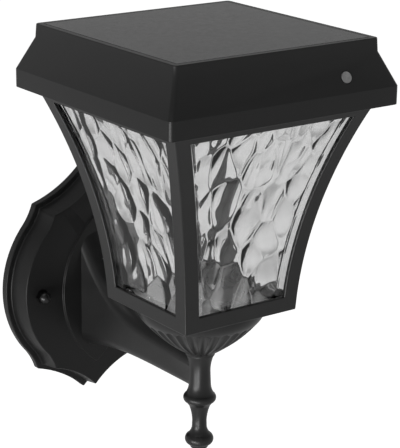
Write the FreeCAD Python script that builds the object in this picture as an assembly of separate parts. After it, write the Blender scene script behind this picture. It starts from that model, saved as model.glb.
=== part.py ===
import FreeCAD, Part
import math
import os

from FreeCAD import Vector

# Solar wall lantern on a cast arm. Millimetres, +Z up, -Y away from the wall.
# The origin is the centre of the wall plate's back face, on the wall.

os.makedirs("parts", exist_ok=True)

# Whole lantern
axis_to_wall = 126.0          # lantern axis in front of the wall
eave_z = 137.5                # bottom edge of the roof
gap = 0.3                     # air between pieces of different bodies
fit = 0.1                     # slack between assembled pieces
overlap = 0.5                 # how far fused forms run into each other

# Roof
eave_half = 73.0
eave_band = 10.1
slope_height = 17.7
top_band = 7.3
slope_top_half = 65.2
roof_top_lean = 0.4           # the top band draws in by this much
roof_corner_radius = 2.5
roof_wall = 2.2
panel_rim = 3.8               # black rim round the panel
panel_slack = 0.1
panel_thickness = 2.4
panel_seal_thickness = 0.6
panel_seal_width = 4.0

# Lantern frame
frame_drop = 117.4            # eave edge down to the frame's bottom edge
frame_bottom_half = 37.2
frame_rise_in_roof = 2.0
eave_overhang = 7.85          # roof edge out to the top of the frame
flare_lean = 15.6             # the arc's lowest point lies this far below the frame
face_wall = 3.0
pane_groove = 3.2
inner_lip = 1.7
post_width = 9.2
bottom_rail = 8.8
window_top_drop = 6.3
floor_flange = 3.0
floor_opening_half = 22.0
pane_thickness = 2.8
pane_overlap = 2.2
pane_bottom_overlap = 2.5

# Head underside and electronics
tray_thickness = 2.0
tray_side_slack = 0.5
tongue_y = 20.0               # towards the wall on both sides, so the head fits one way round
tongue_width = 9.0
tongue_length = 12.4
tongue_thickness = 1.6
tongue_slack = 0.6
tray_screw_clearance = 3.9    # screw head to the inside of the frame
tray_boss_radius = 4.0
tray_screw_radius = 1.4
tray_screw_head_radius = 2.8
tray_screw_head = 1.6
screw_end_clearance = 2.0
tray_seal_height = 1.2
tray_seal_width = 2.4
cell_radius = 7.0
cell_length = 49.0
cell_offset_y = 26.0
cradle_wall = 1.6
cell_tip_share = 0.38         # of the cell radius
cell_tip_height = 1.2
contact_half = 4.0
contact_slack = 0.4
contact_thickness = 0.6
board_thickness = 1.6
control_board_size = (44.0, 22.0)
control_board_y = -8.0
control_board_lift = 6.0
board_post_radius = 1.6
board_post_inset = 3.0
board_post_slack = 0.4
board_part_half_x = 3.0
board_part_half_y = 4.0
board_parts = ((-14.0, 3.0), (-4.0, 2.0), (9.0, 4.0))   # place across the board, height
led_board_radius = 22.0
cradle_clearance = 0.5
led_count = 12
led_ring_radius = 13.0
led_size = 2.8
led_height = 0.8
diffuser_radius = 23.0
tray_lamp_ledge = 1.5         # tray left behind the flange of the diffuser
diffuser_wall = 1.4
diffuser_depth = 5.0
diffuser_rim = 2.0            # flange that lies against the tray
diffuser_taper = 9.0
button_x = 34.0
button_y = -30.0
button_radius = 4.5
button_collar_radius = 6.0
button_collar = 1.0
button_stem_radius = 1.5
button_stem = 1.6
switch_bridge_half_x = 12.0
switch_bridge_half_y = 5.0
switch_leg_radius = 1.6
switch_leg_inset = 2.2
button_proud = 1.4
button_travel = 1.2
switch_size = 6.0
switch_height = 3.4
sensor_x = 39.2
sensor_slope_share = 0.56     # how far down the slope the dot sits
sensor_radius = 3.0
sensor_flange_radius = 4.2
sensor_proud = 0.4
sensor_flange = 1.0
sensor_seat = 0.1
sensor_board_margin = 1.8
sensor_eye_radius = 2.2
sensor_eye_height = 1.4

# Bowl, hub and finial
rod_radius = 3.0
rod_hole_slack = 0.15
cup_wall = 3.0
cup_rim_radius = 36.0
flute_count = 32
flute_top_radius = 33.2
flute_top_drop = 7.1
cup_drop = 29.8               # frame bottom down to the collar seam
collar_radius = 8.2
collar_lip = 0.4
collar_height = 1.2
collar_step = 0.4
cup_band_bulge = 35.3         # half way down the plain band under the rim
cup_band_drop = 3.6
cup_belly_radius = 20.8
cup_belly_drop = 19.6
cup_boss_height = 12.0
flute_depth = 1.5
flute_share = 0.84            # of the pitch at the top of the flutes
flute_middle_share = 0.62     # of the depth, half way down
flute_end = 0.97              # of the bowl's outline
flute_end_share = 0.12
floor_thickness = 1.5
washer_radius = 9.0
washer_thickness = 1.6
nut_across = 10.0
nut_height = 5.0
rod_end_gap = 3.0             # left between the rod and the finial's stud
rod_past_nut = 2.0
hub_waist_radius = 5.9
bead_radius = 9.3
seam_radius = 6.2
hub_height = 30.4             # collar seam down to the finial seam
hub_top_step = 0.3
hub_cove_drop = 4.2
hub_cove_step = 0.6
hub_waist_drop = 10.0
hub_low_waist_drop = 17.0
hub_low_waist_step = 0.3
hub_rise_drop = 20.6
hub_rise_step = 0.8
hub_swell_drop = 23.6
hub_swell_step = 1.3
hub_bead_drop = 26.0
hub_under_drop = 28.4
hub_under_step = 1.6
neck_radius = 4.1
finial_bead_radius = 8.1
finial_button_radius = 5.2
finial_height = 26.3
finial_top_step = 0.1
finial_cove_drop = 4.2
finial_cove_step = 0.7
finial_neck_drop = 9.4
finial_low_neck_drop = 11.6
finial_low_neck_step = 0.1
finial_rise_drop = 15.2
finial_shoulder_drop = 17.6
finial_shoulder_step = 1.7
finial_bead_drop = 20.4
finial_under_drop = 23.9
finial_under_step = 2.3
finial_button_drop = 24.4
finial_foot_step = 1.4
finial_foot_bulge = 0.3
finial_foot_rise = 0.7
finial_stud_radius = 2.5
finial_stud_length = 7.0

# Arm
arm_drop = 11.4               # collar seam down to the arm's middle line
arm_half_height = 9.2
arm_half_width = 5.4
root_half_height = 36.0
root_half_width = 11.0
root_centre_z = -2.0
arm_screw_spacing = 40.0
arm_screw_radius = 2.0
arm_screw_bite = 9.0
arm_screw_head_radius = 3.8
arm_screw_head = 2.6

# Wall plate
plate_half_width = 53.6
plate_tip = 70.8
shoulder_x = 32.6
shoulder_z = 51.8
side_bend_x = 40.2
side_bend_z = 38.2
edge_sag = 2.4
flick_sag = 0.8
plate_base_depth = 5.0
plate_depth = 19.0
tier_step = 3.4
tier_draft = 2.0
plate_wall = 2.5
oval_half_width = 23.2
oval_half_height = 47.0
oval_raise = 1.5
strap_length = 87.0
strap_width = 22.0
strap_thickness = 2.0
strap_raise = 5.0
strap_middle = 52.0
strap_bend_step = 0.8
stud_spacing = 75.0
stud_radius = 2.0
stud_head_radius = 3.9
stud_head = 2.4
cap_nut_across = 7.0
cap_nut_height = 6.5
cap_nut_hex_share = 0.5        # of its height
stud_share = 0.6              # of the cap nut's height that the stud fills
nut_bore_share = 0.62
wall_slot_spacing = 34.0
wall_slot_radius = 2.6
wall_slot_length = 9.0

# Heights and places worked out from the sizes above
frame_bottom = eave_z - frame_drop
frame_top = eave_z + frame_rise_in_roof
slope_bottom_z = eave_z + eave_band
slope_top_z = slope_bottom_z + slope_height
roof_top = slope_top_z + top_band
roof_top_half = slope_top_half - roof_top_lean
panel_half = roof_top_half - panel_rim
tray_z = frame_top + gap
tray_top = tray_z + tray_thickness
window_bottom = frame_bottom + bottom_rail
window_top = eave_z - window_top_drop
frame_depth = face_wall + pane_groove + inner_lip
collar_z = frame_bottom - cup_drop
finial_z = collar_z - hub_height
arm_z = collar_z - arm_drop
floor_z = frame_bottom + floor_flange
panel_z = roof_top - panel_thickness
panel_seal_z = panel_z - panel_seal_thickness
recess_floor = panel_seal_z - roof_wall
plate_front = -plate_depth
oval_front = plate_front - oval_raise
on_axis = Vector(0, -axis_to_wall, 0)

# Radius of the flare that runs from the frame's bottom edge to its top edge
flare_run = eave_half - eave_overhang - frame_bottom_half
flare_reach = flare_lean + frame_top - frame_bottom
flare_chord = (flare_reach ** 2 - flare_lean ** 2) / flare_run
flare_radius = math.hypot((flare_chord + flare_run) / 2, flare_lean)


def place(shape):
    """Moves a piece that was built round x = y = 0 to the lantern's axis."""
    moved = shape.copy()
    moved.translate(on_axis)
    return moved


def save(name, shape):
    shape.exportStep("parts/" + name + ".step")


def block(x0, x1, y0, y1, z0, z1):
    return Part.makeBox(x1 - x0, y1 - y0, z1 - z0, Vector(x0, y0, z0))


def square_block(half, z0, z1):
    return block(-half, half, -half, half, z0, z1)


def disc(radius, x, y, z0, z1):
    return Part.makeCylinder(radius, z1 - z0, Vector(x, y, z0))


def rod_y(radius, x, z, y0, y1):
    """A cylinder along Y from y0 to y1, with y0 the lower value."""
    return Part.makeCylinder(radius, y1 - y0, Vector(x, y0, z), Vector(0, 1, 0))


def fuse(pieces):
    solid = pieces[0]
    for piece in pieces[1:]:
        solid = solid.fuse(piece)
    return solid.removeSplitter()


def revolve(edges):
    """Turns a closed profile in the XZ plane about the Z axis."""
    return Part.Face(Part.Wire(edges)).revolve(Vector(0, 0, 0), Vector(0, 0, 1), 360)


def polyline(points):
    return [Part.makeLine(a, b) for a, b in zip(points, points[1:])]


# Roof

def rounded_square(half, radius, z):
    corners = []
    for turn in range(4):
        angle = math.radians(90 * turn)
        across = Vector(math.cos(angle), math.sin(angle), 0)
        along = Vector(-math.sin(angle), math.cos(angle), 0)
        centre = (across + along) * (half - radius) + Vector(0, 0, z)
        start = centre + across * radius
        middle = centre + (across + along) * (radius / math.sqrt(2))
        end = centre + along * radius
        corners.append((start, middle, end))
    edges = []
    for index, (start, middle, end) in enumerate(corners):
        edges.append(Part.Arc(start, middle, end).toShape())
        edges.append(Part.makeLine(end, corners[(index + 1) % 4][0]))
    return Part.Wire(edges)


def square_stack(sections):
    """A solid through rounded squares, each given as (half width, corner radius, z)."""
    return Part.makeLoft([rounded_square(*section) for section in sections], True, True)


def roof_form(inset, z_bottom, z_top):
    radius = roof_corner_radius
    sections = [(eave_half - inset, radius, z_bottom),
                (eave_half - inset, radius, slope_bottom_z),
                (slope_top_half - inset, radius, slope_top_z),
                (roof_top_half - inset, radius, z_top)]
    return square_stack(sections)


def sensor_place():
    """Middle of the dot on the front slope, and the slope's outward normal."""
    run = eave_half - slope_top_half
    y = -(slope_top_half + sensor_slope_share * run)
    z = slope_top_z - sensor_slope_share * slope_height
    normal = Vector(0, -slope_height, run)
    normal.normalize()
    return Vector(sensor_x, y, z), normal


def roof_shell():
    outer = roof_form(0, eave_z, roof_top)
    hollow = roof_form(roof_wall, eave_z - 1, slope_top_z + 0.01)
    hollow = hollow.common(square_block(eave_half, eave_z - 1, recess_floor))
    recess = square_stack([(panel_half + panel_slack, 1.0, panel_seal_z), (panel_half + panel_slack, 1.0, roof_top + 1)])
    shell = outer.cut(hollow).cut(recess)
    bosses = []
    for x, y in tray_screw_places():
        bosses.append(disc(tray_boss_radius, x, y, tray_top + fit, recess_floor + overlap))
    shell = fuse([shell] + bosses)
    for x, y in tray_screw_places():
        shell = shell.cut(disc(tray_screw_radius, x, y, tray_top, recess_floor - screw_end_clearance))
    centre, normal = sensor_place()
    hole = Part.makeCylinder(sensor_radius + fit, 8, centre - normal * 6, normal)
    return place(shell.cut(hole))


def solar_panel():
    z0 = panel_z
    return place(square_stack([(panel_half, 1.0, z0), (panel_half, 1.0, roof_top)]))


def panel_seal():
    outer = square_block(panel_half - 1, panel_seal_z, panel_z)
    inner = square_block(panel_half - 1 - panel_seal_width, panel_seal_z, panel_z)
    return place(outer.cut(inner))


# Head underside

def snap_tongue():
    """Tongue on the right side that follows the inner face of the frame's top rail."""
    low = tray_z - tongue_length
    top_face = pane_inner_half(tray_z) - tongue_slack
    low_face = pane_inner_half(low) - tongue_slack
    corners = [Vector(top_face, 0, tray_z + tray_thickness / 2), Vector(top_face, 0, tray_z),
               Vector(low_face, 0, low), Vector(low_face - tongue_thickness, 0, low),
               Vector(top_face - tongue_thickness, 0, tray_z),
               Vector(top_face - tongue_thickness, 0, tray_z + tray_thickness / 2)]
    face = Part.Face(Part.makePolygon(corners + corners[:1]))
    face.translate(Vector(0, tongue_y - tongue_width / 2, 0))
    return face.extrude(Vector(0, tongue_width, 0))


def tray_screw_places():
    reach = pane_inner_half(tray_z - tray_screw_head) - tray_screw_head_radius - tray_screw_clearance
    return [(x, y) for x in (-reach, reach) for y in (-reach, reach)]


def head_tray():
    half = eave_half - roof_wall - tray_side_slack
    plate = square_stack([(half, roof_corner_radius, tray_z), (half, roof_corner_radius, tray_top)])
    right = snap_tongue()
    left = right.mirror(Vector(0, 0, 0), Vector(1, 0, 0))
    tray = fuse([plate, right, left])
    lamp_hole = diffuser_radius - diffuser_wall - tray_lamp_ledge
    tray = tray.cut(disc(lamp_hole, 0, 0, tray_z - 1, tray_top + 1))
    tray = tray.cut(disc(button_radius + gap, button_x, button_y, tray_z - 1, tray_top + 1))
    for x, y in tray_screw_places():
        tray = tray.cut(disc(tray_screw_radius + fit, x, y, tray_z - 1, tray_top + 1))
    return place(tray)


def tray_screws():
    screws = []
    for x, y in tray_screw_places():
        head = disc(tray_screw_head_radius, x, y, tray_z - tray_screw_head, tray_z)
        shank = disc(tray_screw_radius, x, y, tray_z - overlap, recess_floor - screw_end_clearance - 1)
        screws.append(place(head.fuse(shank).removeSplitter()))
    return Part.makeCompound(screws)


def tray_seal():
    half = eave_half - roof_wall - tray_side_slack
    z1 = tray_top + tray_seal_height
    outer = square_stack([(half, roof_corner_radius, tray_top), (half, roof_corner_radius, z1)])
    inner = square_block(half - tray_seal_width, tray_top - 1, z1 + 1)
    return place(outer.cut(inner))


def battery():
    centre = tray_top + cradle_wall + cell_radius + fit
    body = Part.makeCylinder(cell_radius, cell_length - cell_tip_height,
                             Vector(-cell_length / 2, cell_offset_y, centre), Vector(1, 0, 0))
    tip_length = cell_tip_height + overlap
    tip = Part.makeCylinder(cell_radius * cell_tip_share, tip_length,
                            Vector(cell_length / 2 - tip_length, cell_offset_y, centre), Vector(1, 0, 0))
    return place(body.fuse(tip).removeSplitter())


def cradle_half_length():
    return cell_length / 2 + contact_thickness + contact_slack + cradle_wall


def battery_cradle():
    half_x = cradle_half_length()
    half_y = cell_radius + cradle_wall + fit
    top = tray_top + cradle_wall + cell_radius * 1.2
    body = block(-half_x, half_x, cell_offset_y - half_y, cell_offset_y + half_y, tray_top, top)
    centre = tray_top + cradle_wall + cell_radius + fit
    room = half_x - cradle_wall
    trough = Part.makeCylinder(cell_radius + fit, 2 * room, Vector(-room, cell_offset_y, centre), Vector(1, 0, 0))
    lid_cut = block(-room, room, cell_offset_y - cell_radius - fit, cell_offset_y + cell_radius + fit,
                    centre, top + 1)
    return place(body.cut(trough).cut(lid_cut))


def battery_contacts():
    centre = tray_top + cradle_wall + cell_radius + fit
    face = cradle_half_length() - cradle_wall
    plates = []
    for side in (-1, 1):
        outer = side * (face - 0.05)
        inner = side * (face - 0.05 - contact_thickness)
        plates.append(place(block(min(outer, inner), max(outer, inner), cell_offset_y - contact_half,
                                  cell_offset_y + contact_half, centre - contact_half, centre + contact_half)))
    return Part.makeCompound(plates)


def board_post_places():
    reach_x = control_board_size[0] / 2 - board_post_inset
    reach_y = control_board_size[1] / 2 - board_post_inset
    return [(x, control_board_y + y) for x in (-reach_x, reach_x) for y in (-reach_y, reach_y)]


def control_board():
    size_x, size_y = control_board_size
    z0 = led_board_z() + board_thickness + control_board_lift
    board = block(-size_x / 2, size_x / 2, control_board_y - size_y / 2, control_board_y + size_y / 2,
                  z0, z0 + board_thickness)
    parts = [board]
    for x, height in board_parts:
        parts.append(block(x - board_part_half_x, x + board_part_half_x, control_board_y - board_part_half_y,
                           control_board_y + board_part_half_y, z0 + board_thickness - fit,
                           z0 + board_thickness + height))
    for x, y in board_post_places():
        parts.append(disc(board_post_radius, x, y, tray_top, z0 + fit))
    return place(fuse(parts))


def led_board_z():
    return tray_top + fit


def led_board():
    low = led_board_z()
    high = low + board_thickness
    board = disc(led_board_radius, 0, 0, low, high)
    for x, y in board_post_places():
        board = board.cut(disc(board_post_radius + board_post_slack, x, y, low - 1, high + 1))
    flat_y = cell_offset_y - cell_radius - cradle_wall - cradle_clearance
    flat = block(-eave_half, eave_half, flat_y, eave_half, low - 1, high + 1)
    return place(board.cut(flat))


def led_chips():
    chips = []
    for index in range(led_count):
        angle = 2 * math.pi * index / led_count
        x = led_ring_radius * math.cos(angle)
        y = led_ring_radius * math.sin(angle)
        z1 = led_board_z()
        chips.append(place(block(x - led_size / 2, x + led_size / 2, y - led_size / 2, y + led_size / 2,
                                 z1 - led_height, z1)))
    return Part.makeCompound(chips)


def frustum(low_radius, high_radius, low, high):
    return Part.makeCone(low_radius, high_radius, high - low, Vector(0, 0, low))


def led_diffuser():
    rim_low = tray_z - diffuser_wall
    low = rim_low - diffuser_depth
    mouth = diffuser_radius - diffuser_rim
    foot = mouth - diffuser_taper
    rim = disc(diffuser_radius, 0, 0, rim_low, tray_z)
    shade = frustum(foot, mouth, low, rim_low + fit)
    inner = frustum(foot - diffuser_wall, mouth - diffuser_wall, low + diffuser_wall, rim_low)
    bore = disc(mouth - diffuser_wall, 0, 0, rim_low - fit / 2, tray_z + 1)
    return place(rim.fuse(shade).cut(inner).cut(bore).removeSplitter())


def power_button():
    cap = disc(button_radius, button_x, button_y, tray_z - button_proud, tray_top)
    collar = disc(button_collar_radius, button_x, button_y, tray_top + 0.05, tray_top + button_collar)
    cap = cap.fuse(disc(button_radius, button_x, button_y, tray_top - fit, tray_top + fit))
    stem = disc(button_stem_radius, button_x, button_y, tray_top + overlap, tray_top + button_collar + button_stem)
    return place(cap.fuse(collar).fuse(stem).removeSplitter())


def button_switch():
    z0 = tray_top + button_collar + button_stem + button_travel + gap
    half = switch_size / 2
    body = block(button_x - half, button_x + half, button_y - half, button_y + half, z0, z0 + switch_height)
    bridge = block(button_x - switch_bridge_half_x, button_x + switch_bridge_half_x,
                   button_y - switch_bridge_half_y, button_y + switch_bridge_half_y,
                   z0 + switch_height - fit, z0 + switch_height + board_thickness)
    legs = []
    for side in (-1, 1):
        leg_x = button_x + side * (switch_bridge_half_x - switch_leg_inset)
        legs.append(disc(switch_leg_radius, leg_x, button_y, tray_top, z0 + switch_height))
    return place(fuse([body, bridge] + legs))


def sensor_lens():
    centre, normal = sensor_place()
    inside = roof_wall + sensor_seat
    window = Part.makeCylinder(sensor_radius, sensor_proud + inside + fit, centre - normal * (inside + fit), normal)
    flange = Part.makeCylinder(sensor_flange_radius, sensor_flange,
                               centre - normal * (inside + sensor_flange), normal)
    return place(window.fuse(flange).removeSplitter())


def sensor_board():
    centre, normal = sensor_place()
    back = centre - normal * (roof_wall + sensor_seat + sensor_flange + fit)
    board = Part.makeCylinder(sensor_flange_radius + sensor_board_margin, board_thickness,
                              back - normal * board_thickness, normal)
    eye = Part.makeCylinder(sensor_eye_radius, sensor_eye_height + fit,
                            back - normal * (board_thickness + sensor_eye_height), normal)
    return place(board.fuse(eye).removeSplitter())


# Lantern frame and panes

def flare_half(z, inset=0.0):
    """Half width of the flared form at height z, drawn in by inset."""
    foot = frame_bottom - flare_lean
    at_foot = frame_bottom_half - (flare_radius - math.sqrt(flare_radius ** 2 - flare_lean ** 2))
    rise = z - foot
    return at_foot + flare_radius - math.sqrt(flare_radius ** 2 - rise ** 2) - inset


def pane_inner_half(z):
    return flare_half(z, frame_depth)


def flare_edge(side, inset, z0, z1):
    """The arc of the flare in the XZ plane, on the side -1 or +1."""
    points = [Vector(side * flare_half(z, inset), 0, z) for z in (z0, (z0 + z1) / 2, z1)]
    return Part.Arc(*points).toShape()


def flare_profile(inset, z0, z1):
    left = flare_edge(-1, inset, z0, z1)
    right = flare_edge(1, inset, z0, z1)
    bottom = Part.makeLine(left.valueAt(left.FirstParameter), right.valueAt(right.FirstParameter))
    top = Part.makeLine(left.valueAt(left.LastParameter), right.valueAt(right.LastParameter))
    return Part.Face(Part.Wire(Part.__sortEdges__([left, top, right, bottom])))


def flare_prism(inset, z0, z1):
    """The flare as seen from the front, run through the whole depth along Y."""
    profile = flare_profile(inset, z0, z1)
    profile.translate(Vector(0, -eave_half, 0))
    return profile.extrude(Vector(0, 2 * eave_half, 0))


def turned(shape, degrees):
    copy = shape.copy()
    copy.rotate(Vector(0, 0, 0), Vector(0, 0, 1), degrees)
    return copy


def flare_solid(inset, z0, z1):
    prism = flare_prism(inset, z0, z1)
    return prism.common(turned(prism, 90))


def front_sheet(inset, thickness, side_inset, z0, z1):
    """Curved sheet inside the front face, with its sides drawn in from the flare."""
    outer = turned(flare_prism(inset, z0, z1), 90)
    inner = turned(flare_prism(inset + thickness, z0 - 1, z1 + 1), 90)
    half = outer.cut(inner).common(block(-eave_half, eave_half, -eave_half, 0, z0, z1))
    return half.common(flare_prism(side_inset, z0, z1))


def lantern_frame():
    frame = flare_solid(0, frame_bottom, frame_top).cut(flare_solid(frame_depth, floor_z, frame_top + 1))
    frame = frame.cut(square_block(floor_opening_half, frame_bottom - 1, floor_z + 1))
    window = flare_prism(post_width, window_bottom, window_top)
    frame = frame.cut(window).cut(turned(window, 90))
    groove = front_sheet(face_wall, pane_groove, post_width - pane_overlap - fit,
                         window_bottom - pane_bottom_overlap - fit, frame_top + 1)
    for turn in range(4):
        frame = frame.cut(turned(groove, 90 * turn))
    return place(frame)


def glass_pane(turn):
    slack = (pane_groove - pane_thickness) / 2
    pane = front_sheet(face_wall + slack, pane_thickness, post_width - pane_overlap,
                       window_bottom - pane_bottom_overlap, frame_top - 0.4)
    return place(turned(pane, 90 * turn))


def reflector_floor():
    half = pane_inner_half(floor_z) - fit * 2
    plate = square_block(half, floor_z, floor_z + floor_thickness)
    plate = plate.cut(disc(rod_radius + rod_hole_slack, 0, 0, floor_z - 1, floor_z + floor_thickness + 1))
    return place(plate)


# Bowl, hub and finial

def bowl_edges(inset):
    """The bowl's outline from rim to collar, drawn in by inset."""
    rim = Vector(cup_rim_radius - inset, 0, frame_bottom)
    flute_top = Vector(flute_top_radius - inset, 0, frame_bottom - flute_top_drop)
    belly = Vector(cup_belly_radius - inset * 0.8, 0, frame_bottom - cup_belly_drop + inset * 0.7)
    collar = Vector(collar_radius + collar_lip, 0, collar_z + collar_height + collar_step + inset)
    band = Part.Arc(rim, Vector(cup_band_bulge - inset, 0, frame_bottom - cup_band_drop), flute_top).toShape()
    bowl = Part.Arc(flute_top, belly, collar).toShape()
    return band, bowl, rim, collar


def circle_centre(first, middle, last):
    """Centre of the circle through three points of the XZ plane."""
    return Part.Arc(first, middle, last).toShape().Curve.Center


def flute_cutter():
    """One flute: a round groove down the bowl that runs out towards the collar, with a round top."""
    tube = math.pi * flute_top_radius / flute_count * flute_share
    bowl = bowl_edges(0)[1]
    top_share = tube / bowl.Length
    first = bowl_offset(bowl, top_share, tube - flute_depth)
    middle = bowl_offset(bowl, (1 + top_share) / 2, tube - flute_depth * flute_middle_share)
    last = bowl_offset(bowl, flute_end, tube - flute_depth * flute_end_share)
    centre = circle_centre(first, middle, last)
    spoke = first - centre
    section = Part.Face(Part.Wire(Part.makeCircle(tube, first, Vector(0, 1, 0).cross(spoke))))
    sweep = math.degrees(spoke.getAngle(last - centre))
    groove = section.revolve(centre, Vector(0, 1, 0), sweep)
    return groove.fuse(Part.makeSphere(tube, first))


def bowl_offset(bowl, share, offset):
    """Point beside the bowl's outline, share of the way down, offset outwards."""
    at = bowl.FirstParameter + share * (bowl.LastParameter - bowl.FirstParameter)
    point = bowl.valueAt(at)
    outward = bowl.tangentAt(at).cross(Vector(0, 1, 0))
    if outward.x < 0:
        outward = outward * -1
    return point + outward * offset


def fluted_cup():
    band, bowl, rim, collar = bowl_edges(0)
    seat = Vector(collar_radius, 0, collar_z)
    low = Vector(collar_radius, 0, collar_z + collar_height)
    on_axis_low = Vector(0, 0, collar_z)
    on_axis_top = Vector(0, 0, frame_bottom)
    outline = [band, bowl] + polyline([collar, low, seat, on_axis_low, on_axis_top, rim])
    cup = revolve(outline)
    cutter = flute_cutter()
    cutters = [turned(cutter, 360.0 * index / flute_count) for index in range(flute_count)]
    cup = cup.cut(cutters)
    inner_band, inner_bowl, inner_rim, inner_low = bowl_edges(cup_wall)
    floor_point = Vector(0, 0, inner_low.z)
    hollow = revolve([inner_band, inner_bowl] + polyline([inner_low, floor_point, on_axis_top, inner_rim]))
    cup = cup.cut(hollow)
    cup = cup.cut(disc(rod_radius + rod_hole_slack, 0, 0, collar_z - 1, collar_z + cup_boss_height))
    return place(cup)


def tie_rod():
    top = floor_z + floor_thickness + washer_thickness + nut_height + rod_past_nut
    return place(disc(rod_radius, 0, 0, finial_z + finial_stud_length + rod_end_gap, top))


def tie_washer():
    z0 = floor_z + floor_thickness
    ring = disc(washer_radius, 0, 0, z0, z0 + washer_thickness)
    return place(ring.cut(disc(rod_radius + rod_hole_slack, 0, 0, z0 - 1, z0 + washer_thickness + 1)))


def hexagon(across, z0, z1):
    corner = across / math.sqrt(3)
    points = []
    for index in range(7):
        angle = math.radians(60 * index)
        points.append(Vector(corner * math.cos(angle), corner * math.sin(angle), z0))
    return Part.Face(Part.makePolygon(points)).extrude(Vector(0, 0, z1 - z0))


def tie_nut():
    z0 = floor_z + floor_thickness + washer_thickness
    nut = hexagon(nut_across, z0, z0 + nut_height)
    return place(nut.cut(disc(rod_radius, 0, 0, z0 - 1, z0 + nut_height + 1)))


def turning_point(radius, seam_z, drop):
    return Vector(radius, 0, seam_z - drop)


def hub():
    """The turned baluster between the bowl and the finial."""
    top = turning_point(collar_radius - hub_top_step, collar_z, 0)
    cove = turning_point(hub_waist_radius + hub_cove_step, collar_z, hub_cove_drop)
    waist = turning_point(hub_waist_radius, collar_z, hub_waist_drop)
    low_waist = turning_point(hub_waist_radius + hub_low_waist_step, collar_z, hub_low_waist_drop)
    rise = turning_point(hub_waist_radius + hub_rise_step, collar_z, hub_rise_drop)
    swell = turning_point(bead_radius - hub_swell_step, collar_z, hub_swell_drop)
    bead = turning_point(bead_radius, collar_z, hub_bead_drop)
    under = turning_point(bead_radius - hub_under_step, collar_z, hub_under_drop)
    seam = turning_point(seam_radius, finial_z, 0)
    upper = Part.Arc(top, cove, waist).toShape()
    lower = Part.Arc(low_waist, rise, swell).toShape()
    bulge = Part.Arc(swell, bead, under).toShape()
    straight = Part.makeLine(waist, low_waist)
    closing = polyline([under, seam, Vector(0, 0, finial_z), Vector(0, 0, collar_z), top])
    return revolve([upper, straight, lower, bulge] + closing)


def arm_section(y, half_width, half_height, centre_z):
    """An upright section of the arm across Y, with straight sides and round ends."""
    straight = half_height - half_width
    low = centre_z - straight
    high = centre_z + straight
    edges = [Part.makeLine(Vector(half_width, y, low), Vector(half_width, y, high)),
             Part.Arc(Vector(half_width, y, high), Vector(0, y, high + half_width),
                      Vector(-half_width, y, high)).toShape(),
             Part.makeLine(Vector(-half_width, y, high), Vector(-half_width, y, low)),
             Part.Arc(Vector(-half_width, y, low), Vector(0, y, low - half_width),
                      Vector(half_width, y, low)).toShape()]
    return Part.Wire(edges)


def arm_body():
    """Arm from the hub's axis to the face of the plate, flaring like a trumpet at the root."""
    reach = axis_to_wall - plate_depth - oval_raise
    stations = 8
    sections = []
    for index in range(stations):
        share = index / (stations - 1)
        flare = 0.10 * share + 0.90 * share ** 5
        y = -axis_to_wall + reach * share
        centre = arm_z + (root_centre_z - arm_z) * flare
        half_height = arm_half_height + (root_half_height - arm_half_height) * flare
        half_width = arm_half_width + (root_half_width - arm_half_width) * share ** 3
        sections.append(arm_section(y, half_width, half_height, centre))
    return Part.makeLoft(sections, True, False)


def arm_screw_heights():
    return [root_centre_z - arm_screw_spacing / 2, root_centre_z + arm_screw_spacing / 2]


def arm_casting():
    casting = place(hub()).fuse(arm_body())
    casting = casting.cut(place(disc(rod_radius, 0, 0, finial_z - 1, collar_z + 1)))
    for z in arm_screw_heights():
        casting = casting.cut(rod_y(arm_screw_radius, 0, z, oval_front - arm_screw_bite, oval_front + 1))
    return casting.removeSplitter()


def finial():
    top = turning_point(seam_radius - finial_top_step, finial_z, 0)
    cove = turning_point(neck_radius + finial_cove_step, finial_z, finial_cove_drop)
    neck = turning_point(neck_radius, finial_z, finial_neck_drop)
    low_neck = turning_point(neck_radius + finial_low_neck_step, finial_z, finial_low_neck_drop)
    rise = turning_point(neck_radius + finial_cove_step, finial_z, finial_rise_drop)
    shoulder = turning_point(finial_bead_radius - finial_shoulder_step, finial_z, finial_shoulder_drop)
    bead = turning_point(finial_bead_radius, finial_z, finial_bead_drop)
    under = turning_point(finial_bead_radius - finial_under_step, finial_z, finial_under_drop)
    button = turning_point(finial_button_radius, finial_z, finial_button_drop)
    foot_bulge = turning_point(finial_button_radius - finial_foot_bulge, finial_z,
                               finial_height - finial_foot_rise)
    foot = turning_point(finial_button_radius - finial_foot_step, finial_z, finial_height)
    upper = Part.Arc(top, cove, neck).toShape()
    lower = Part.Arc(low_neck, rise, shoulder).toShape()
    bulge = Part.Arc(shoulder, bead, under).toShape()
    round_foot = Part.Arc(button, foot_bulge, foot).toShape()
    ledge = Part.makeLine(under, button)
    straight = Part.makeLine(neck, low_neck)
    closing = polyline([foot, Vector(0, 0, finial_z - finial_height), Vector(0, 0, finial_z), top])
    turned_body = revolve([upper, straight, lower, bulge, ledge, round_foot] + closing)
    stud = disc(finial_stud_radius, 0, 0, finial_z - 2, finial_z + finial_stud_length)
    return place(turned_body.fuse(stud).removeSplitter())


# Wall plate

def bracket_points(shrink_side, shrink_tip, shrink_shoulder):
    """Key points of the plate's outline in the right upper quarter, as (x, z)."""
    side = (plate_half_width - shrink_side, 0.0)
    bend = (side_bend_x - shrink_side, side_bend_z - shrink_shoulder * 0.4)
    shoulder = (shoulder_x - shrink_shoulder * 0.8, shoulder_z - shrink_shoulder * 0.7)
    tip = (0.0, plate_tip - shrink_tip)
    return side, bend, shoulder, tip


def mid_with_sag(first, last, sag):
    """Middle of a chord, moved by sag towards the plate's centre."""
    x = (first[0] + last[0]) / 2
    z = (first[1] + last[1]) / 2
    dx = last[0] - first[0]
    dz = last[1] - first[1]
    length = math.hypot(dx, dz)
    across = (dz / length, -dx / length)
    if across[0] * x + across[1] * z > 0:
        across = (-across[0], -across[1])
    return x + across[0] * sag, z + across[1] * sag


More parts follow.
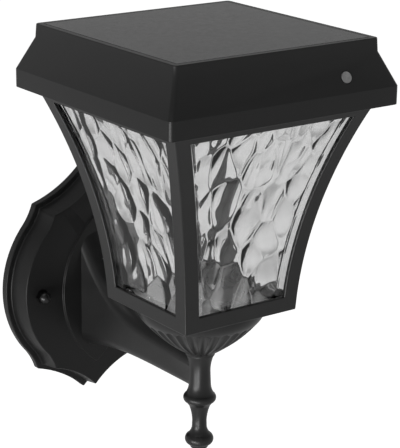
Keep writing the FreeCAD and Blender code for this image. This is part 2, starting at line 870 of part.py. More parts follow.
def plate_outline(y, shrink):
    """Closed wire of the bracket outline at depth y, drawn in by shrink."""
    side, bend, shoulder, tip = bracket_points(shrink, shrink * 1.15, shrink)
    flick = mid_with_sag(bend, shoulder, flick_sag)
    shallow = mid_with_sag(shoulder, tip, edge_sag)

    def at(point, sx, sz):
        return Vector(sx * point[0], y, sz * point[1])

    edges = []
    edges.append(Part.Arc(at(bend, 1, -1), at(side, 1, 1), at(bend, 1, 1)).toShape())
    edges.append(Part.Arc(at(bend, 1, 1), at(flick, 1, 1), at(shoulder, 1, 1)).toShape())
    edges.append(Part.Arc(at(shoulder, 1, 1), at(shallow, 1, 1), at(tip, 1, 1)).toShape())
    edges.append(Part.Arc(at(tip, -1, 1), at(shallow, -1, 1), at(shoulder, -1, 1)).toShape())
    edges.append(Part.Arc(at(shoulder, -1, 1), at(flick, -1, 1), at(bend, -1, 1)).toShape())
    edges.append(Part.Arc(at(bend, -1, 1), at(side, -1, 1), at(bend, -1, -1)).toShape())
    edges.append(Part.Arc(at(bend, -1, -1), at(flick, -1, -1), at(shoulder, -1, -1)).toShape())
    edges.append(Part.Arc(at(shoulder, -1, -1), at(shallow, -1, -1), at(tip, -1, -1)).toShape())
    edges.append(Part.Arc(at(tip, 1, -1), at(shallow, 1, -1), at(shoulder, 1, -1)).toShape())
    edges.append(Part.Arc(at(shoulder, 1, -1), at(flick, 1, -1), at(bend, 1, -1)).toShape())
    return Part.Wire(edges)


def plate_slab(shrink, y_back, y_front):
    face = Part.Face(plate_outline(y_back, shrink))
    return face.extrude(Vector(0, y_front - y_back, 0))


def plate_tier(shrink_back, shrink_front, y_back, y_front):
    return Part.makeLoft([plate_outline(y_back, shrink_back), plate_outline(y_front, shrink_front)], True, True)


def pointed_oval(half_width, half_height, y_back, y_front):
    """Two arcs that meet in points above and below, extruded along Y."""
    top = Vector(0, y_back, root_centre_z + half_height)
    low = Vector(0, y_back, root_centre_z - half_height)
    left = Vector(-half_width, y_back, root_centre_z)
    right = Vector(half_width, y_back, root_centre_z)
    wire = Part.Wire([Part.Arc(low, left, top).toShape(), Part.Arc(top, right, low).toShape()])
    return Part.Face(wire).extrude(Vector(0, y_front - y_back, 0))


def wall_plate():
    base = plate_slab(0, 0, -plate_base_depth)
    tier = plate_tier(tier_step, tier_step + tier_draft, -plate_base_depth + overlap, plate_front)
    oval = pointed_oval(oval_half_width, oval_half_height, plate_front + 1, oval_front)
    plate = base.fuse(tier).fuse(oval)
    hollow_shrink = tier_step + tier_draft + plate_wall
    plate = plate.cut(plate_slab(hollow_shrink, 1, plate_front + plate_wall))
    for side in (-1, 1):
        plate = plate.cut(rod_y(stud_radius + fit, side * stud_spacing / 2, 0, plate_front - 1, 0))
    for z in arm_screw_heights():
        plate = plate.cut(rod_y(arm_screw_radius + fit, 0, z, oval_front - 1, 0))
    return plate.removeSplitter()


def arm_screws():
    screws = []
    inside = plate_front + plate_wall
    for z in arm_screw_heights():
        head = rod_y(arm_screw_head_radius, 0, z, inside, inside + arm_screw_head)
        shank = rod_y(arm_screw_radius, 0, z, oval_front - arm_screw_bite + 1, inside + overlap)
        screws.append(head.fuse(shank).removeSplitter())
    return Part.makeCompound(screws)


def mounting_strap():
    half = strap_length / 2
    rise = strap_middle / 2
    lip = rise + strap_raise - strap_thickness
    t = strap_thickness
    step = strap_bend_step
    points = [(-half, -strap_raise), (-lip, -strap_raise), (-rise, 0), (rise, 0), (lip, -strap_raise),
              (half, -strap_raise), (half, -strap_raise - t), (lip - step, -strap_raise - t), (rise - step, -t),
              (-rise + step, -t), (-lip + step, -strap_raise - t), (-half, -strap_raise - t), (-half, -strap_raise)]
    wire = Part.makePolygon([Vector(x, y, -strap_width / 2) for x, y in points])
    strap = Part.Face(wire).extrude(Vector(0, 0, strap_width))
    for side in (-1, 1):
        strap = strap.cut(rod_y(stud_radius, side * stud_spacing / 2, 0, -strap_raise - t - 1, 1))
        half_run = wall_slot_length / 2 - wall_slot_radius
        x = side * wall_slot_spacing / 2
        for end in (-1, 1):
            strap = strap.cut(rod_y(wall_slot_radius, x + end * half_run, 0, -t - 1, 1))
        strap = strap.cut(block(x - half_run, x + half_run, -t - 1, 1, -wall_slot_radius, wall_slot_radius))
    return strap


def strap_studs():
    studs = []
    for side in (-1, 1):
        x = side * stud_spacing / 2
        head = rod_y(stud_head_radius, x, 0, -strap_raise, -strap_raise + stud_head)
        shank = rod_y(stud_radius, x, 0, plate_front - cap_nut_height * stud_share, -strap_raise + overlap)
        studs.append(head.fuse(shank).removeSplitter())
    return Part.makeCompound(studs)


def cap_nut(x):
    corner = cap_nut_across / math.sqrt(3)
    points = []
    for index in range(7):
        angle = math.radians(60 * index)
        points.append(Vector(x + corner * math.cos(angle), plate_front, corner * math.sin(angle)))
    hex_depth = cap_nut_height * cap_nut_hex_share
    base = Part.Face(Part.makePolygon(points)).extrude(Vector(0, -hex_depth, 0))
    dome_radius = cap_nut_across / 2
    dome = Part.makeSphere(dome_radius, Vector(x, plate_front - cap_nut_height + dome_radius, 0))
    room = block(x - cap_nut_across, x + cap_nut_across, plate_front - cap_nut_height,
                 plate_front - hex_depth + fit, -cap_nut_across, cap_nut_across)
    nut = base.fuse(dome.common(room))
    bore = rod_y(stud_radius, x, 0, plate_front - cap_nut_height * nut_bore_share, plate_front + 1)
    return nut.cut(bore).removeSplitter()


def cap_nuts():
    return Part.makeCompound([cap_nut(side * stud_spacing / 2) for side in (-1, 1)])


pieces = {
    "roof_shell": roof_shell,
    "solar_panel": solar_panel,
    "panel_seal": panel_seal,
    "head_tray": head_tray,
    "tray_seal": tray_seal,
    "tray_screws": tray_screws,
    "battery": battery,
    "battery_cradle": battery_cradle,
    "battery_contacts": battery_contacts,
    "control_board": control_board,
    "led_board": led_board,
    "led_chips": led_chips,
    "led_diffuser": led_diffuser,
    "sensor_lens": sensor_lens,
    "sensor_board": sensor_board,
    "button_switch": button_switch,
    "power_button": power_button,
    "lantern_frame": lantern_frame,
    "glass_front": lambda: glass_pane(0),
    "glass_right": lambda: glass_pane(1),
    "glass_back": lambda: glass_pane(2),
    "glass_left": lambda: glass_pane(3),
    "reflector_floor": reflector_floor,
    "fluted_cup": fluted_cup,
    "tie_rod": tie_rod,
    "tie_washer": tie_washer,
    "tie_nut": tie_nut,
    "arm_casting": arm_casting,
    "finial": finial,
    "arm_screws": arm_screws,
    "wall_plate": wall_plate,
    "mounting_strap": mounting_strap,
    "strap_studs": strap_studs,
    "cap_nuts": cap_nuts,
}

for name, make in pieces.items():
    save(name, make())
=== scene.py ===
import bpy
import bmesh
import math
from mathutils import Matrix, Vector, noise


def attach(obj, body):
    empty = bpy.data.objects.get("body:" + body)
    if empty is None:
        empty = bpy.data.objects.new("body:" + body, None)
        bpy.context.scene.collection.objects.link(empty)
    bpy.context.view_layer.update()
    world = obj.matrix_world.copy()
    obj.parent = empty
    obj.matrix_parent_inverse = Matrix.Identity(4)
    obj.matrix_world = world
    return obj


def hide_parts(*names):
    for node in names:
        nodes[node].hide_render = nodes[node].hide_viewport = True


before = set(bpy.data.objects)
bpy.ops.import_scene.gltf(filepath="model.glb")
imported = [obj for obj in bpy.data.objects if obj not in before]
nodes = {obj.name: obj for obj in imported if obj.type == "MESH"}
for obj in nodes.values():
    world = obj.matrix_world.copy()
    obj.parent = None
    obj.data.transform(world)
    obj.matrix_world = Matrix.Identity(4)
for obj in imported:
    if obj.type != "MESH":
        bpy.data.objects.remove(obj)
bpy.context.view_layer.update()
print("frame loaded,", len(nodes), "nodes")


# a wrapped socket: sums on it add their Math nodes, and make adds any other node
class Wire:
    def __init__(self, tree, socket=None):
        self.tree = tree
        self.socket = socket

    def make(self, kind, settings=None, sockets=None, out=0):
        node = self.tree.nodes.new(kind)
        for name, value in (settings or {}).items():
            if name == "stops":
                self.fillRamp(node.color_ramp, value)
            else:
                setattr(node, name, value)
        for name, value in (sockets or {}).items():
            if isinstance(value, Wire):
                self.tree.links.new(value.socket, node.inputs[name])
            else:
                node.inputs[name].default_value = value
        return None if out is None else Wire(self.tree, node.outputs[out])

    def fillRamp(self, ramp, stops):
        while len(ramp.elements) < len(stops):
            ramp.elements.new(0.5)
        for element, (place, colour) in zip(ramp.elements, stops):
            element.position = place
            element.color = colour

    def sum(self, operation, *values):
        return self.make("ShaderNodeMath", {"operation": operation}, dict(enumerate(values)))

    def __add__(self, other):
        return self.sum("ADD", self, other)

    def __radd__(self, other):
        return self.sum("ADD", other, self)

    def __sub__(self, other):
        return self.sum("SUBTRACT", self, other)

    def __rsub__(self, other):
        return self.sum("SUBTRACT", other, self)

    def __mul__(self, other):
        return self.sum("MULTIPLY", self, other)

    def __rmul__(self, other):
        return self.sum("MULTIPLY", other, self)

    def __lt__(self, other):
        return self.sum("LESS_THAN", self, other)

    def __gt__(self, other):
        return self.sum("GREATER_THAN", self, other)


def grey(level):
    return (level, level, level, 1.0)


def startFinish(name):
    material = bpy.data.materials.new(name)
    material.use_nodes = True
    tree = material.node_tree
    tree.nodes.clear()
    wire = Wire(tree)
    return material, wire, wire.make("ShaderNodeTexCoord", out="Object")


def closeFinish(wire, sockets):
    shader = wire.make("ShaderNodeBsdfPrincipled", {}, sockets)
    wire.make("ShaderNodeOutputMaterial", {}, {"Surface": shader}, out=None)


def blendColours(wire, mask, first, second):
    return wire.make("ShaderNodeMix", {"data_type": "RGBA"}, {0: mask, 6: first, 7: second}, out=2)


def noiseAt(wire, coords, scale, detail=2.0):
    return wire.make("ShaderNodeTexNoise", {}, {"Vector": coords, "Scale": scale, "Detail": detail})


def bumpFrom(wire, height, strength, distance):
    return wire.make("ShaderNodeBump", {},
                     {"Height": height, "Strength": strength, "Distance": distance})


noiseMiddle = 0.5  # noise swings both ways about this

# paint, plastic, rubber and print: a mottled tone, gloss that varies, fine grain in the normal
coating = {"mottleScale": 38.0, "mottleDetail": 3.0, "fineShare": 0.5, "grainStrength": 0.6}
coats = {
    "castBlack": {"tone": 0.0095, "toneSpread": 0.25, "roughness": 0.35, "roughSpread": 0.12,
                  "grainScale": 1300.0, "grainHeight": 0.00005, "specular": 0.40},
    "plateBlack": {"tone": 0.0100, "toneSpread": 0.22, "roughness": 0.37, "roughSpread": 0.12,
                   "grainScale": 1100.0, "grainHeight": 0.00005, "specular": 0.24},
    "roofBlack": {"tone": 0.0088, "toneSpread": 0.15, "roughness": 0.38, "roughSpread": 0.10,
                  "grainScale": 2200.0, "grainHeight": 0.00003, "specular": 0.30},
    "trayBlack": {"tone": 0.016, "toneSpread": 0.20, "roughness": 0.50, "roughSpread": 0.12,
                  "grainScale": 1800.0, "grainHeight": 0.00004, "specular": 0.35},
    "sealBlack": {"tone": 0.010, "toneSpread": 0.20, "roughness": 0.70, "roughSpread": 0.10,
                  "grainScale": 1500.0, "grainHeight": 0.00005, "specular": 0.30},
    "buttonRubber": {"tone": 0.030, "toneSpread": 0.20, "roughness": 0.62, "roughSpread": 0.10,
                     "grainScale": 1500.0, "grainHeight": 0.00005, "specular": 0.35},
    "diffuserWhite": {"tone": 0.72, "toneSpread": 0.05, "roughness": 0.38, "roughSpread": 0.08,
                      "grainScale": 900.0, "grainHeight": 0.00004, "specular": 0.5},
    "boardWhite": {"tone": 0.70, "toneSpread": 0.06, "roughness": 0.45, "roughSpread": 0.10,
                   "grainScale": 900.0, "grainHeight": 0.00003, "specular": 0.5},
    "ledYellow": {"tone": 0.70, "toneSpread": 0.06, "roughness": 0.30, "roughSpread": 0.08,
                  "grainScale": 900.0, "grainHeight": 0.00003, "specular": 0.5,
                  "tint": (1.0, 0.72, 0.12)},
    "batteryWrap": {"tone": 0.16, "toneSpread": 0.25, "roughness": 0.34, "roughSpread": 0.10,
                    "grainScale": 700.0, "grainHeight": 0.00003, "specular": 0.5,
                    "tint": (0.35, 0.95, 0.5)},
    "circuitGreen": {"tone": 0.09, "toneSpread": 0.35, "roughness": 0.40, "roughSpread": 0.12,
                     "grainScale": 500.0, "grainHeight": 0.00004, "specular": 0.5,
                     "tint": (0.3, 1.0, 0.45)},
}


def shade(look, side):
    tone = look["tone"] * (1 + side * look["toneSpread"])
    return tuple(tone * part for part in look.get("tint", (1.0, 1.0, 1.0))) + (1.0,)


def coatedFinish(name, look):
    material, wire, coords = startFinish(name)
    mottle = noiseAt(wire, coords, coating["mottleScale"], coating["mottleDetail"])
    fine = noiseAt(wire, coords, look["grainScale"])
    spread = look["roughSpread"]
    gloss = (mottle - noiseMiddle) * spread + look["roughness"]
    gloss = gloss + (fine - noiseMiddle) * (spread * coating["fineShare"])
    closeFinish(wire, {
        "Base Color": blendColours(wire, mottle, shade(look, -1), shade(look, 1)),
        "Roughness": gloss,
        "Normal": bumpFrom(wire, fine, coating["grainStrength"], look["grainHeight"]),
        "Specular IOR Level": look["specular"],
    })
    return material


# bare metal: brushed along z, with faint spots
metal = {"brushScale": (60.0, 60.0, 900.0), "brushStrength": 0.3, "brushHeight": 0.00004,
         "brushGloss": 0.18, "spotScale": 90.0, "spotShade": 0.86, "spotGloss": 0.1, "detail": 3.0}
steels = {
    "brightSteel": {"tone": 0.62, "roughness": 0.30},
    "satinReflector": {"tone": 0.90, "roughness": 0.28},
    "darkFastener": {"tone": 0.045, "roughness": 0.34},
}


def steelFinish(name, look):
    material, wire, coords = startFinish(name)
    brushed = wire.make("ShaderNodeMapping", {}, {"Vector": coords, "Scale": metal["brushScale"]})
    streaks = noiseAt(wire, brushed, 1.0, metal["detail"])
    spots = noiseAt(wire, coords, metal["spotScale"], metal["detail"])
    gloss = (streaks - noiseMiddle) * metal["brushGloss"] + look["roughness"]
    tone = look["tone"]
    closeFinish(wire, {
        "Base Color": blendColours(wire, spots, grey(tone * metal["spotShade"]), grey(tone)),
        "Metallic": 1.0,
        "Normal": bumpFrom(wire, streaks, metal["brushStrength"], metal["brushHeight"]),
        "Roughness": gloss + (spots - noiseMiddle) * metal["spotGloss"],
    })
    return material


# the panel: black cells between hairlines that hardly show
solarLook = {"cellDark": 0.008, "cellLight": 0.0125, "lineTone": 0.014, "cellPitch": 0.0152,
             "lineWidth": 0.0005, "cloudScale": 14.0, "spotScale": 420.0, "bumpStrength": 0.35,
             "bumpHeight": 0.00003, "roughness": 0.24, "roughSpread": 0.10, "specular": 0.155}


def solarFinish(name, look):
    material, wire, coords = startFinish(name)
    spots = noiseAt(wire, coords, look["spotScale"])
    cloud = noiseAt(wire, coords, look["cloudScale"])
    across = wire.make("ShaderNodeSeparateXYZ", {}, {0: coords})
    line = wire.sum("PINGPONG", across, look["cellPitch"] / 2) < look["lineWidth"] / 2
    cell = blendColours(wire, cloud, grey(look["cellDark"]), grey(look["cellLight"]))
    closeFinish(wire, {
        "Base Color": blendColours(wire, line, cell, grey(look["lineTone"])),
        "Roughness": (spots - noiseMiddle) * look["roughSpread"] + look["roughness"],
        "Normal": bumpFrom(wire, spots, look["bumpStrength"], look["bumpHeight"]),
        "Specular IOR Level": look["specular"],
    })
    return material


glassLook = {"tint": (0.76, 0.76, 0.76, 1.0), "roughness": 0.018, "ior": 1.49,
             "hazeScale": 60.0, "haze": 0.012}


def glassFinish(name, look):
    material, wire, coords = startFinish(name)
    haze = noiseAt(wire, coords, look["hazeScale"])
    closeFinish(wire, {
        "Base Color": look["tint"],
        "Roughness": haze * look["haze"] + look["roughness"],
        "Transmission Weight": 1.0,
        "IOR": look["ior"],
    })
    return material


sensorLook = {"dark": 0.24, "light": 0.36, "cloudScale": 260.0,
              "roughness": 0.18, "roughSpread": 0.15}


def sensorFinish(name, look):
    material, wire, coords = startFinish(name)
    cloud = noiseAt(wire, coords, look["cloudScale"])
    closeFinish(wire, {
        "Base Color": blendColours(wire, cloud, grey(look["dark"]), grey(look["light"])),
        "Roughness": cloud * look["roughSpread"] + look["roughness"],
    })
    return material


finishes = {name: coatedFinish(name, look) for name, look in coats.items()}
finishes.update({name: steelFinish(name, look) for name, look in steels.items()})
finishes["solarCells"] = solarFinish("solarCells", solarLook)
finishes["rippledGlass"] = glassFinish("rippledGlass", glassLook)
finishes["sensorMilky"] = sensorFinish("sensorMilky", sensorLook)
print("finishes made:", len(finishes))

# nodes that show as they are; the others get their finish with the piece that replaces them
nodeFinish = {
    "solar_panel": "solarCells",
    "panel_seal": "sealBlack",
    "head_tray": "trayBlack",
    "tray_seal": "sealBlack",
    "tray_screws": "brightSteel",
    "battery": "batteryWrap",
    "battery_cradle": "trayBlack",
    "battery_contacts": "brightSteel",
    "control_board": "circuitGreen",
    "led_board": "boardWhite",
    "led_chips": "ledYellow",
    "led_diffuser": "diffuserWhite",
    "sensor_lens": "sensorMilky",
    "sensor_board": "circuitGreen",
    "button_switch": "trayBlack",
    "power_button": "buttonRubber",
    "reflector_floor": "satinReflector",
    "tie_rod": "brightSteel",
    "tie_washer": "brightSteel",
    "tie_nut": "brightSteel",
    "arm_screws": "brightSteel",
    "mounting_strap": "brightSteel",
    "strap_studs": "brightSteel",
}
for name, finish in nodeFinish.items():
    for place in nodes[name].material_slots:
        place.material = finishes[finish]
print("CAD nodes dressed:", len(nodeFinish))


def addPiece(name, bm, finish, body, smoothAngle):
    mesh = bpy.data.meshes.new(name)
    bm.to_mesh(mesh)
    bm.free()
    mesh.shade_smooth()
    mesh.set_sharp_from_angle(angle=math.radians(smoothAngle))
    piece = bpy.data.objects.new(name, mesh)
    bpy.context.scene.collection.objects.link(piece)
    mesh.materials.append(finishes[finish])
    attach(piece, body)
    return piece


def soften(piece, width, segments, angle):
    bevel = piece.modifiers.new("soft edges", "BEVEL")
    bevel.width = width
    bevel.segments = segments
    bevel.limit_method = "ANGLE"
    bevel.angle_limit = math.radians(angle)
    bevel.use_clamp_overlap = False
    bevel.harden_normals = True


# the flared form that frame and panes share, seen from the lantern's own upright axis
flare = {"axisY": -0.126, "footZ": 0.0045, "footHalf": 0.036838, "radius": 0.336,
         "bottom": 0.0201, "top": 0.1395, "windowBottom": 0.0289, "windowTop": 0.1312,
         "post": 0.0092}


def flareHalf(z):
    rise = z - flare["footZ"]
    return flare["footHalf"] + flare["radius"] - math.sqrt(flare["radius"] ** 2 - rise ** 2)


def quarterTurn(turn):
    spin = Matrix.Rotation(math.radians(90 * turn), 4, "Z")
    return Matrix.Translation((0, flare["axisY"], 0)) @ spin


castFrame = {"wall": 0.0025, "rows": 30, "floorHole": 0.022, "heartZ": 0.08, "weld": 0.00001,
             "edgeWidth": 0.0007, "edgeSegments": 3, "edgeAngle": 32.0, "smoothAngle": 35.0}


# one side is a grid of three columns with its window taken out;
# four such sides and a flange at the foot make the shell
def makeFrame():
    bm = bmesh.new()
    rows = castFrame["rows"]
    bmesh.ops.create_grid(bm, x_segments=3, y_segments=rows, size=1.0)
    tall = flare["windowTop"] - flare["windowBottom"]
    for vert in bm.verts:
        column = round((vert.co.x + 1) / 2 * 3)
        row = round((vert.co.y + 1) / 2 * rows)
        z = flare["windowBottom"] + (row - 1) / (rows - 2) * tall
        z = flare["bottom"] if row == 0 else flare["top"] if row == rows else z
        half = flareHalf(z)
        x = (-half, flare["post"] - half, half - flare["post"], half)[column]
        vert.co = Vector((x, -half, z))
    window = []
    for face in bm.faces:
        spot = face.calc_center_median()
        inRows = flare["windowBottom"] < spot.z < flare["windowTop"]
        if inRows and abs(spot.x) < flareHalf(spot.z) - flare["post"]:
            window.append(face)
    bmesh.ops.delete(bm, geom=window, context="FACES")
    oneSide = bm.faces[:]
    for turn in (1, 2, 3):
        copy = bmesh.ops.duplicate(bm, geom=oneSide)
        verts = [item for item in copy["geom"] if isinstance(item, bmesh.types.BMVert)]
        bmesh.ops.rotate(bm, verts=verts, matrix=Matrix.Rotation(math.radians(90 * turn), 3, "Z"))
    bmesh.ops.remove_doubles(bm, verts=bm.verts, dist=castFrame["weld"])
    footTop = flare["bottom"] + castFrame["weld"]
    foot = [edge for edge in bm.edges
            if edge.is_boundary and max(vert.co.z for vert in edge.verts) < footTop]
    flange = bmesh.ops.extrude_edge_only(bm, edges=foot)
    inner = [item for item in flange["geom"] if isinstance(item, bmesh.types.BMVert)]
    shrink = castFrame["floorHole"] / flareHalf(flare["bottom"])
    bmesh.ops.scale(bm, verts=inner, vec=(shrink, shrink, 1.0))
    bmesh.ops.recalc_face_normals(bm, faces=bm.faces)
    heart = Vector((0, 0, castFrame["heartZ"]))  # faces look away from this
    if sum(face.normal.dot(face.calc_center_median() - heart) for face in bm.faces) < 0:
        bmesh.ops.reverse_faces(bm, faces=bm.faces)
    bmesh.ops.transform(bm, matrix=quarterTurn(0), verts=bm.verts)
    piece = addPiece("frame_flared", bm, "castBlack", "root",
                     castFrame["smoothAngle"])
    wall = piece.modifiers.new("wall", "SOLIDIFY")
    wall.thickness = castFrame["wall"]
    wall.offset = -1.0
    wall.use_even_offset = True
    soften(piece, castFrame["edgeWidth"], castFrame["edgeSegments"], castFrame["edgeAngle"])
    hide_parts("lantern_frame")


makeFrame()

# curved panes that run behind the posts to mitred corners;
# both skins are rippled in the same cells
pane = {
    "outerInset": 0.0027, "thickness": 0.0030, "jointGap": 0.0001,
    "bottom": 0.0264, "top": 0.1391, "columns": 190, "rows": 230,
    "sideMargin": 0.0121, "footMargin": -0.0024, "topMargin": 0.002, "fade": 0.0009,
    "cellWide": 0.0135, "cellTall": 0.0195, "reach": 0.80, "seam": 0.14, "seamShare": 0.09,
    "warpWide": 0.012, "warpTall": 0.018, "warp": 0.17,
    "dimpleInner": 0.00150, "dimpleOuter": 0.00062, "fieldStep": 0.00030,
    "waveWide": 0.0045, "waveTall": 0.0085, "waveHeight": 0.00007,
    "smoothPasses": 3, "smoothFactor": 0.5, "smoothAngle": 60.0,
    "seeds": {"front": 14.8, "right": 73.5, "back": 101.9, "left": 166.1},
}


# height of a cell's lens under a point of the pane: 1 on top, falling to its seams;
# noise_vector is unseeded and follows the clock, so the cells bend differently on each run
def dome(across, z, seed):
    spot = Vector((across / pane["cellWide"], z / pane["cellTall"], seed))
    bend = noise.noise_vector(Vector((across / pane["warpWide"], z / pane["warpTall"], seed)))
    distances = noise.voronoi(spot + bend * pane["warp"])[0]
    seam = (distances[1] - distances[0]) / pane["seam"]
    lens = 1 - min(1.0, distances[0] / pane["reach"]) ** 2
    return lens - pane["seamShare"] * math.exp(-seam * seam)


# 0 on the plain margins along the posts, 1 where the pane is rippled
def rippled(across, z):
    side = flareHalf(z) - abs(across) - pane["sideMargin"]
    foot = z - flare["windowBottom"] - pane["footMargin"]
    head = flare["top"] - pane["topMargin"] - z
    share = max(0.0, min(1.0, min(side, foot, head) / pane["fade"]))
    return share * share * (3 - 2 * share)  # eases in and out


def makePane(name, node, turn, seed):
    bm = bmesh.new()
    bmesh.ops.create_grid(bm, x_segments=pane["columns"], y_segments=pane["rows"], size=1.0)
    outer = bm.verts[:]
    twins = bmesh.ops.duplicate(bm, geom=bm.faces[:])["geom"]
    innerFaces = [item for item in twins if isinstance(item, bmesh.types.BMFace)]
    bmesh.ops.reverse_faces(bm, faces=innerFaces)
    inner = [item for item in twins if isinstance(item, bmesh.types.BMVert)]
    bmesh.ops.bridge_loops(bm, edges=[edge for edge in bm.edges if edge.is_boundary])
    innerInset = pane["outerInset"] + pane["thickness"]
    for skin, inset in ((outer, pane["outerInset"]), (inner, innerInset)):
        for vert in skin:
            z = pane["bottom"] + (vert.co.y + 1) / 2 * (pane["top"] - pane["bottom"])
            half = flareHalf(z)
            vert.co = Vector((vert.co.x * (half - inset - pane["jointGap"]), inset - half, z))
    for vert in outer:
        depth = pane["dimpleOuter"] * rippled(vert.co.x, vert.co.z)
        if depth:
            vert.co.y += depth * (1 - dome(vert.co.x, vert.co.z, seed))
    for vert in inner:
        field = rippled(vert.co.x, vert.co.z)
        if field:
            across, z = vert.co.x, vert.co.z
            hollow = pane["dimpleInner"] * (1 - dome(across, z, seed))
            wave = noise.noise(Vector((across / pane["waveWide"], z / pane["waveTall"], seed)))
            vert.co.y -= (pane["fieldStep"] + hollow + wave * pane["waveHeight"]) * field
    inside = [vert for vert in bm.verts if rippled(vert.co.x, vert.co.z) == 1]
    for step in range(pane["smoothPasses"]):
        bmesh.ops.smooth_vert(bm, verts=inside, factor=pane["smoothFactor"], use_axis_y=True)
    bmesh.ops.transform(bm, matrix=quarterTurn(turn), verts=bm.verts)
    bmesh.ops.recalc_face_normals(bm, faces=bm.faces)
    piece = addPiece(name, bm, "rippledGlass", "root", pane["smoothAngle"])
    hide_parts(node)


for turn, (side, seed) in enumerate(pane["seeds"].items()):
    makePane("pane_" + side, "glass_" + side, turn, seed)
print("frame and rippled panes made")

# smooth copies of the CAD meshes, so that turned and fluted forms shade without facets
smoothing = {"weld": 0.000002, "flatAngle": 0.4, "edgeSegments": 2, "edgeAngle": 35.0}
smoothed = {
    "bowl_fluted": {"node": "fluted_cup", "finish": "castBlack", "body": "root",
                    "slot": "black_casting", "smoothAngle": 40.0, "edgeWidth": 0.0},
    "arm_cast": {"node": "arm_casting", "finish": "castBlack", "body": "root",
                 "slot": "black_casting", "smoothAngle": 28.0, "edgeWidth": 0.0},
    "finial_turned": {"node": "finial", "finish": "castBlack", "body": "root",
                      "slot": "black_casting", "smoothAngle": 28.0, "edgeWidth": 0.0},
    "plate_cast": {"node": "wall_plate", "finish": "plateBlack", "body": "root",
                   "slot": "plate_black", "smoothAngle": 30.0, "edgeWidth": 0.0006},
    "roof_moulded": {"node": "roof_shell", "finish": "roofBlack", "body": "solar_head",
                     "slot": "black_plastic", "smoothAngle": 25.0, "edgeWidth": 0.0005},
    "nuts_domed": {"node": "cap_nuts", "finish": "darkFastener", "body": "root",
                   "slot": "black_fasteners", "smoothAngle": 30.0, "edgeWidth": 0.0},
}


def smoothCopy(name, look):
    bm = bmesh.new()
    bm.from_mesh(nodes[look["node"]].data)
    bmesh.ops.remove_doubles(bm, verts=bm.verts, dist=smoothing["weld"])
    flat = math.radians(smoothing["flatAngle"])
    bmesh.ops.dissolve_limit(bm, angle_limit=flat, verts=bm.verts, edges=bm.edges)
    piece = addPiece(name, bm, look["finish"], look["body"], look["smoothAngle"])
    if look["edgeWidth"]:
        soften(piece, look["edgeWidth"], smoothing["edgeSegments"], smoothing["edgeAngle"])
    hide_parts(look["node"])


for name, look in smoothed.items():
    smoothCopy(name, look)
print("smooth copies made:", len(smoothed))

# the floor looks white to the camera; by gloss and through glass it shows a painted ring of light,
# darker under the lantern and further out
stage = {"floorZ": -0.60, "floorSize": 8.0, "floorTone": 0.82, "toneSpread": 0.02,
         "cloudScale": 3.0, "roughness": 0.9, "floorGlow": 0.86, "glossShare": 0.5,
         "poolScale": 0.12,
         "paintedLightPool": ((0.05, grey(0.45)), (0.16, grey(0.55)), (0.27, grey(0.85)),
                       (0.42, grey(0.85)), (0.75, grey(0.40)))}
studio = {"light": 0.22, "ceilingFade": 0.52, "climb": 2.2}


# rays that look straight at the stage, and rays that reach it by gloss or through glass
def rayMasks(wire):
    direct = wire.make("ShaderNodeLightPath", out="Is Camera Ray")
    mirror = wire.make("ShaderNodeLightPath", out="Is Glossy Ray")
    through = wire.make("ShaderNodeLightPath", out="Is Transmission Ray")
    seen = wire.sum("MINIMUM", mirror * stage["glossShare"] + through, 1.0)
    return direct, seen * (1.0 - direct)


def makeFloor():
    bm = bmesh.new()
    bmesh.ops.create_grid(bm, x_segments=1, y_segments=1, size=stage["floorSize"])
    for vert in bm.verts:
        vert.co.z = stage["floorZ"]
    mesh = bpy.data.meshes.new("floor")
    bm.to_mesh(mesh)
    bm.free()
    floor = bpy.data.objects.new("floor", mesh)
    bpy.context.scene.collection.objects.link(floor)
    material, wire, coords = startFinish("paleFloor")
    direct, bounced = rayMasks(wire)
    reach = wire.make("ShaderNodeVectorMath", {"operation": "LENGTH"}, {0: coords}, out=1)
    # painted light: a glowing ring on the floor with painted shade under the lantern, seen only by
    # gloss and through glass
    pool = wire.make("ShaderNodeValToRGB", {"stops": stage["paintedLightPool"]},
                     {0: reach * stage["poolScale"]})
    glow = direct * stage["floorGlow"] + bounced * pool
    soft = noiseAt(wire, coords, stage["cloudScale"])
    tone = stage["floorTone"]
    closeFinish(wire, {
        "Base Color": blendColours(wire, soft, grey(tone - stage["toneSpread"]), grey(tone)),
        "Roughness": stage["roughness"],
        "Specular IOR Level": 0.0,
        "Emission Strength": 1.0,
        "Emission Color": blendColours(wire, glow, grey(0.0), grey(1.0)),
    })
    mesh.materials.append(material)


def makeWorld():
    world = bpy.data.worlds.new("studio")
    bpy.context.scene.world = world
    world.use_nodes = True
    world.node_tree.nodes.clear()
    wire = Wire(world.node_tree)
    direct, bounced = rayMasks(wire)
    heading = wire.make("ShaderNodeTexCoord", out="Generated")
    up = wire.make("ShaderNodeSeparateXYZ", {}, {0: heading}, out=2)
    climb = wire.sum("MAXIMUM", wire.sum("MINIMUM", up * studio["climb"], 1.0), 0.0)
    backdrop = 1.0 - climb * studio["ceilingFade"]
    plain = (1.0 - direct) * (1.0 - bounced) * studio["light"]
    background = wire.make("ShaderNodeBackground", {}, {
        "Color": grey(1.0), "Strength": direct + bounced * backdrop + plain})
    wire.make("ShaderNodeOutputWorld", {}, {"Surface": background}, out=None)


makeFloor()
makeWorld()

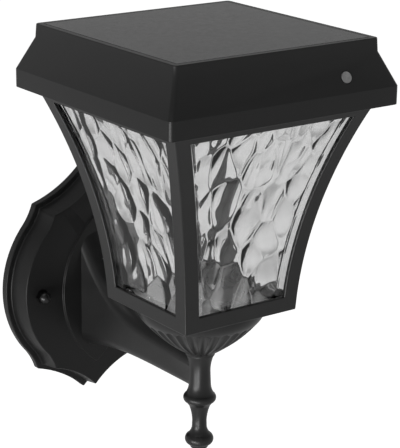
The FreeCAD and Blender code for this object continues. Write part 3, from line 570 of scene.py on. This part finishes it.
# place, size and power of each soft lamp; all of them face the lantern
lamps = {
    "keyLeft": {"place": (-1.60, -0.45, -0.30), "size": (1.0, 0.4), "power": 14.5},
    "topSoft": {"place": (-0.4, -0.3, 1.9), "size": (1.6, 1.6), "power": 7.0},
    "fillRight": {"place": (1.3, -1.5, 0.5), "size": (1.4, 1.4), "power": 0.3},
    "frontSoft": {"place": (-0.86, -0.80, -0.42), "size": (0.28, 0.20), "power": 3.4},
}
lanternMiddle = Vector((0.0, -0.12, 0.06))
for name, lamp in lamps.items():
    light = bpy.data.lights.new(name, "AREA")
    light.shape = "RECTANGLE"
    light.size, light.size_y = lamp["size"]
    light.energy = lamp["power"]
    holder = bpy.data.objects.new(name, light)
    holder.location = lamp["place"]
    aim = lanternMiddle - Vector(lamp["place"])
    holder.rotation_euler = aim.to_track_quat("-Z", "Y").to_euler()
    bpy.context.scene.collection.objects.link(holder)

view = {"place": (-0.53784, -0.85506, 0.34825), "azimuth": -36.352, "elevation": 17.315,
        "roll": 0.712, "lens": 140.28, "sensor": 36.0, "nearest": 0.05, "furthest": 60.0}


def makeCamera():
    azimuth, elevation = math.radians(view["azimuth"]), math.radians(view["elevation"])
    roll = math.radians(view["roll"])
    back = Vector((math.sin(azimuth) * math.cos(elevation),
                   -math.cos(azimuth) * math.cos(elevation), math.sin(elevation)))
    level = Vector((0, 0, 1)).cross(back).normalized()
    upright = back.cross(level)
    right = math.cos(roll) * level + math.sin(roll) * upright
    up = -math.sin(roll) * level + math.cos(roll) * upright
    data = bpy.data.cameras.new("photoView")
    data.lens = view["lens"]
    data.sensor_width = view["sensor"]
    data.clip_start = view["nearest"]
    data.clip_end = view["furthest"]
    camera = bpy.data.objects.new("photoView", data)
    turn = Matrix((right, up, back)).transposed().to_4x4()
    camera.matrix_world = Matrix.Translation(Vector(view["place"])) @ turn
    bpy.context.scene.collection.objects.link(camera)
    bpy.context.scene.camera = camera


makeCamera()
bpy.context.scene.view_settings.view_transform = "Standard"
print("stage, lamps and camera set")
